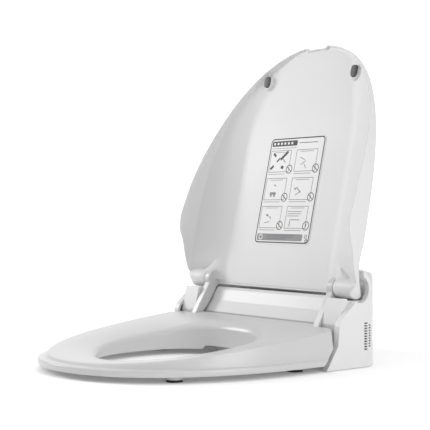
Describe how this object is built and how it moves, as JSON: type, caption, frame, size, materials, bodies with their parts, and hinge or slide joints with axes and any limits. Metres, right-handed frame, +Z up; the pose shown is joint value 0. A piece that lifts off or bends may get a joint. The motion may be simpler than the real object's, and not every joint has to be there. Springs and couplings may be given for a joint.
{
  "type": "electric bidet seat",
  "caption": "Electric bidet seat with heated seat ring, hinged lid, two sliding wash nozzles and warm-air dryer in one rear housing.",
  "frame": {"origin": "midway between the two bowl bolts, on the bowl's deck", "axes": "+Z up, -Y towards the seat's front tip, +X to the right when facing the housing from the front"},
  "size_m": [0.406, 0.493, 0.4865],
  "materials": {
    "white_lid": "gloss",
    "white_seat": "gloss",
    "white_case": "satin",
    "white_plate": "satin",
    "label_film": "satin",
    "grey_rubber": "matte",
    "black_rubber": "matte",
    "dark_plastic": "satin",
    "smoked_plastic": "gloss",
    "steel": "satin",
    "pale_plastic": "satin",
    "natural_plastic": "satin",
    "heating_foil": "satin",
    "metal_thread": "polished",
    "circuit_board": "satin"
  },
  "bodies": {
    "housing": {"upper_cover": "white_case", "receiver_window": "smoked_plastic", "side_panel_right": "white_case", "side_panel_left": "white_case", "base_case": "white_case", "nozzle_cover": "white_case", "cord_gland": "black_rubber", "hinge_pins": "steel", "stepper_motor_right": "steel", "stepper_motor_left": "steel", "nozzle_frame": "natural_plastic", "water_heater": "natural_plastic", "inlet_valve": "natural_plastic", "inlet_nipple": "metal_thread", "inlet_seal": "black_rubber", "distributor_valve": "natural_plastic", "vacuum_breaker": "natural_plastic", "blower_housing": "dark_plastic", "blower_motor": "steel", "dryer_duct": "dark_plastic", "dryer_heater": "heating_foil", "main_board": "circuit_board", "power_board": "circuit_board", "case_screws": "steel"},
    "lid": {"lid_outer": "white_lid", "lid_inner": "white_lid", "lid_label": "label_film", "lid_bumpers": "grey_rubber", "lid_damper": "dark_plastic"},
    "seat": {"seat_top": "white_seat", "seat_bottom": "white_seat", "seat_heater": "heating_foil", "seat_bush": "dark_plastic", "seat_damper": "dark_plastic", "seat_foot_pads": "white_seat", "seat_foot_rubbers": "black_rubber"},
    "plate": {"mount_plate": "white_plate"},
    "right_wand": {"wand_right": "pale_plastic", "nozzle_tip_right": "steel"},
    "left_wand": {"wand_left": "pale_plastic", "nozzle_tip_left": "steel"},
    "right_pinion": {"drive_pinion_right": "natural_plastic"},
    "left_pinion": {"drive_pinion_left": "natural_plastic"},
    "fan": {"impeller": "dark_plastic"},
    "power_key": {"power_button": "white_case"},
    "wash_key": {"wash_button": "white_case"},
    "release_key": {"release_button": "pale_plastic"}
  },
  "joints": [
    {"name": "lid_hinge", "type": "hinge", "parent": "housing", "child": "lid", "pos_m": [0, -0.043, 0.111], "axis": [1, 0, 0], "range_deg": [0, 118]},
    {"name": "seat_hinge", "type": "hinge", "parent": "housing", "child": "seat", "pos_m": [0, -0.043, 0.111], "axis": [1, 0, 0], "range_deg": [-95, 0]},
    {"name": "plate_slide", "type": "slide", "parent": "housing", "child": "plate", "axis": [0, 1, 0], "range_m": [0, 0.05]},
    {"name": "right_wand_slide", "type": "slide", "parent": "housing", "child": "right_wand", "axis": [0, -0.9272, -0.3746], "range_m": [0, 0.09]},
    {"name": "left_wand_slide", "type": "slide", "parent": "housing", "child": "left_wand", "axis": [0, -0.9272, -0.3746], "range_m": [0, 0.09]},
    {"name": "right_pinion_spin", "type": "hinge", "parent": "housing", "child": "right_pinion", "pos_m": [0.013, -0.04555, 0.04676], "axis": [1, 0, 0], "range_deg": [-740, 0]},
    {"name": "left_pinion_spin", "type": "hinge", "parent": "housing", "child": "left_pinion", "pos_m": [-0.013, -0.04555, 0.04676], "axis": [1, 0, 0], "range_deg": [-740, 0]},
    {"name": "fan_spin", "type": "hinge", "parent": "housing", "child": "fan", "pos_m": [0.156, -0.031, 0.044], "axis": [1, 0, 0], "continuous": true},
    {"name": "power_press", "type": "slide", "parent": "housing", "child": "power_key", "axis": [1, 0, 0], "range_m": [0, 0.0012], "stiffness_N_per_m": 500},
    {"name": "wash_press", "type": "slide", "parent": "housing", "child": "wash_key", "axis": [1, 0, 0], "range_m": [0, 0.0012], "stiffness_N_per_m": 500},
    {"name": "release_press", "type": "slide", "parent": "housing", "child": "release_key", "axis": [1, 0, 0], "range_m": [0, 0.0045], "stiffness_N_per_m": 600}
  ],
  "couplings": [
    {"joint": "right_pinion_spin", "follows": "right_wand_slide", "rad_per_m": -142.86},
    {"joint": "left_pinion_spin", "follows": "left_wand_slide", "rad_per_m": -142.86}
  ]
}
